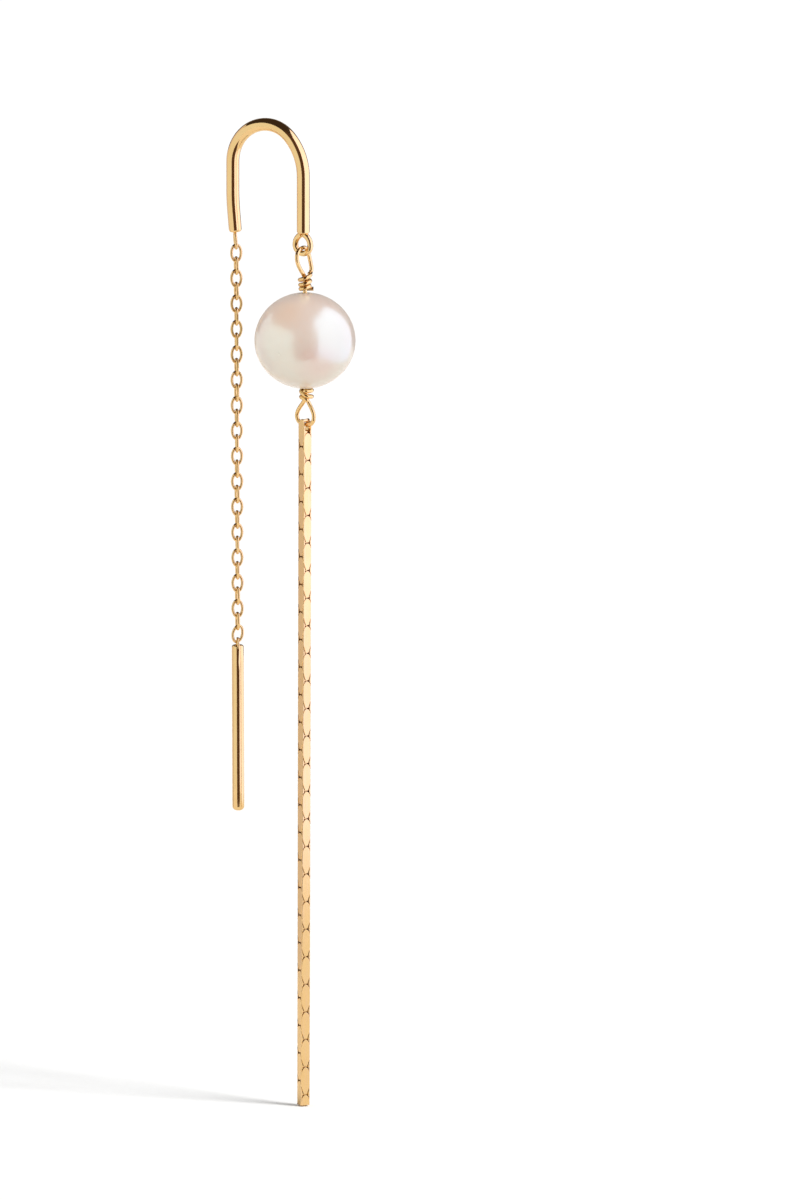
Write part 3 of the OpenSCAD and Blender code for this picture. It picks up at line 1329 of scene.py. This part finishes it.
@dataclass
class Studio:
    """Camera, floor, lights and cards."""

    azimuth: float = 31.0
    elevation: float = 9.0
    photo_px: tuple[int, int] = (800, 1200)
    origin_px: tuple[float, float] = (268.67, 130.9)
    mm_per_px: float = 0.08
    camera_reach: float = 300.0
    floor_reach: float = 3000.0
    clearance: float = 0.1
    fibre: float = 0.5
    fibre_depth: float = 0.01
    cards: tuple[Card, ...] = (
        Card("right_card", 80, 77, 190, 27, 212, 1.8, "#EBE4FF"),
        Card("right_low_card", 80, 76, 186, 6, 27, 1.65, "#E4E2FF"),
        Card("left_card", -67, 130, 242, 0, 148, 0.92, "#FFFDF8"),
        Card("left_back_card", -121, 150, 80, 0, 160, 0.84, "#FFEFF0"),
        Card("left_low_card", -116, 60, 44, 0, 46, 0.8, "#F4E8E8"),
        Card("back_card", 170, 260, 436, 0, 240, 0.25, "#EEE2DA"),
        Card("front_card", 3, 79, 80, 0, 170, 0.1, "#FFBC95"),
    )
    key: SoftBox = SoftBox("key", 58, 55, 16, 2.5)
    fill: SoftBox = SoftBox("fill", 20, 65, 160, 2.6)
    sky: float = 0.5
    floor_bounce: str = "#EEE5DE"
    room: str = "#3C3029"

    def way(self, azimuth: float, elevation: float = 0.0) -> Vector:
        """Direction from the earring at angles counted from the camera's, in degrees."""
        a, e = math.radians(self.azimuth + azimuth), math.radians(elevation)
        return Vector((math.sin(a) * math.cos(e), -math.cos(a) * math.cos(e), math.sin(e)))

    def camera(self) -> None:
        """Sets up a flat camera at the photograph's viewing angle and framing."""
        back = self.way(0, self.elevation)
        right = Vector((0, 0, 1)).cross(back).normalized()
        up = back.cross(right)
        across = (self.photo_px[0] / 2 - self.origin_px[0]) * self.mm_per_px
        down = (self.photo_px[1] / 2 - self.origin_px[1]) * self.mm_per_px
        data = bpy.data.cameras.new("camera")
        data.type = "ORTHO"
        data.ortho_scale = self.photo_px[1] * self.mm_per_px * MM
        camera = bpy.data.objects.new("camera", data)
        camera.location = (right * across - up * down + back * self.camera_reach) * MM
        camera.rotation_mode = "QUATERNION"
        camera.rotation_quaternion = (-back).to_track_quat("-Z", "Y")
        bpy.context.scene.collection.objects.link(camera)
        bpy.context.scene.camera = camera

    def floor(self, level: float) -> Object:
        """Lays the pale floor just under the earring, which hangs clear of it.

        Args:
            level: The level of the earring's lowest point, in metres.

        Returns:
            The floor.
        """
        floor = added(
            bpy.ops.mesh.primitive_circle_add,
            vertices=128,
            radius=self.floor_reach * MM,
            fill_type="NGON",
            location=(0, 0, level - self.clearance * MM),
        )
        floor.name = floor.data.name = "floor"
        # Matt white card stock: clean, with a faint grain of pressed fibre that the light catches,
        # drawn coarser than the real hundredths of a millimetre so that it shows. What it throws
        # back on the earring is a little warmer and dimmer than it looks itself.
        material, tree, shader = new_material("white_matt_board")
        place = add_node(tree, "ShaderNodeTexCoord", out="Object")
        fibres = {"Vector": place, "Scale": per_mm(self.fibre), "Detail": 4.0}
        grain = add_node(tree, "ShaderNodeTexNoise", fibres)
        tints = {SHARE: grain, FIRST: linear("#F5F5F5"), SECOND: linear("#F2F2F1")}
        tone = add_node(tree, "ShaderNodeMix", tints, MIXED, data_type="RGBA")
        seen = add_node(tree, "ShaderNodeLightPath", out="Is Camera Ray")
        tints = {SHARE: seen, FIRST: linear(self.floor_bounce), SECOND: tone}
        tone = add_node(tree, "ShaderNodeMix", tints, MIXED, data_type="RGBA")
        relief = {"Height": grain, "Distance": self.fibre_depth * MM}
        normal = add_node(tree, "ShaderNodeBump", relief)
        tree.links.new(tone, shader.inputs["Base Color"])
        tree.links.new(normal, shader.inputs["Normal"])
        shader.inputs["Roughness"].default_value = 1.0
        shader.inputs["Specular IOR Level"].default_value = 0.0
        floor.data.materials.append(material)
        floor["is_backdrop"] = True
        return floor

    def world(self) -> None:
        """Sets the room: white where the camera sees it, and dim and warm in reflections."""
        world = bpy.data.worlds.new("room")
        world.use_nodes = True
        bpy.context.scene.world = world
        tree = world.node_tree
        room = tree.nodes["Background"]
        room.inputs["Color"].default_value = linear(self.room)
        white = linear("#FFFFFF")
        lit = add_node(tree, "ShaderNodeBackground", {"Color": white})
        sky = add_node(tree, "ShaderNodeBackground", {"Color": white, "Strength": self.sky})
        for ray, look in (("Is Diffuse Ray", sky), ("Is Glossy Ray", room.outputs[0])):
            share = add_node(tree, "ShaderNodeLightPath", out=ray)
            lit = add_node(tree, "ShaderNodeMixShader", {0: share, 1: lit, 2: look})
        tree.links.new(lit, tree.nodes["World Output"].inputs["Surface"])

    def card(self, plan: Card, floor_level: float) -> None:
        """Stands one card up round the earring.

        Args:
            plan: The card.
            floor_level: The floor's level in metres.
        """
        outward = self.way(plan.azimuth)
        middle = outward * plan.distance * MM
        middle.z = floor_level + (plan.low + plan.high) / 2 * MM
        board = added(
            bpy.ops.mesh.primitive_plane_add,
            mm(plan.width, plan.high - plan.low, 1),
            size=1,
            location=middle,
            rotation=outward.to_track_quat("Z", "Y").to_euler(),
        )
        board.name = board.data.name = plan.name
        material, tree, shader = new_material(plan.name)
        tree.nodes.remove(shader)
        glow = {"Color": linear(plan.colour), "Strength": plan.radiance}
        light = add_node(tree, "ShaderNodeEmission", glow)
        tree.links.new(light, tree.nodes["Material Output"].inputs["Surface"])
        board.data.materials.append(material)
        board.visible_camera = False
        board.visible_diffuse = False
        board.visible_shadow = False
        board.visible_transmission = False
        board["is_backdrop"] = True

    def soft_box(self, plan: SoftBox, lit: Object) -> None:
        """Hangs a far, wide soft box, whose own reflection is left to the cards.

        Args:
            plan: The soft box.
            lit: The one thing it lights. The metal takes no such light.
        """
        data = bpy.data.lights.new(plan.name, "SUN")
        data.angle = math.radians(plan.angle)
        data.energy = plan.strength
        lamp = bpy.data.objects.new(plan.name, data)
        way = self.way(plan.azimuth, plan.elevation)
        lamp.rotation_mode = "QUATERNION"
        lamp.rotation_quaternion = (-way).to_track_quat("-Z", "Y")
        lamp.visible_glossy = False
        lamp.visible_camera = False
        bpy.context.scene.collection.objects.link(lamp)
        receivers = bpy.data.collections.new(f"{plan.name}_receivers")
        receivers.objects.link(lit)
        lamp.light_linking.receiver_collection = receivers

    def lights(self, floor_level: float) -> None:
        """Sets up the room and the cards.

        Args:
            floor_level: The floor's level in metres.
        """
        bpy.context.scene.view_settings.view_transform = "Standard"
        self.world()
        for plan in self.cards:
            self.card(plan, floor_level)


def main() -> None:
    """Builds every piece, finish and light round the frame."""
    logging.basicConfig(level=logging.INFO, format="%(name)s: %(message)s")
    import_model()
    cad_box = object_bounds()
    studio = Studio()
    studio.camera()
    studio.soft_box(studio.key, studio.floor(cad_box[0].z))
    studio.lights(cad_box[0].z)
    threader, drop = Threader(), PearlDrop()
    dress(threader.ear_wire(), POLISHED, Body.HOOK, "ear_wire", angle=30)
    dress(threader.cable_chain(), LINKS, Body.HOOK, "threader_chain", angle=60)
    dress(threader.bar(), POLISHED, Body.HOOK, "threader_bar", angle=30)
    pearl = drop.pearl()
    studio.soft_box(studio.fill, pearl)
    dress(pearl, NACRE, Body.DROP, "pearl", angle=60)
    dress(drop.wire(), FINE_WIRE, Body.DROP, "pearl_wire", angle=60)
    dress(drop.square_chain(), PLATES, Body.DROP, "drop_chain", angle=20)


if __name__ == "__main__":
    main()
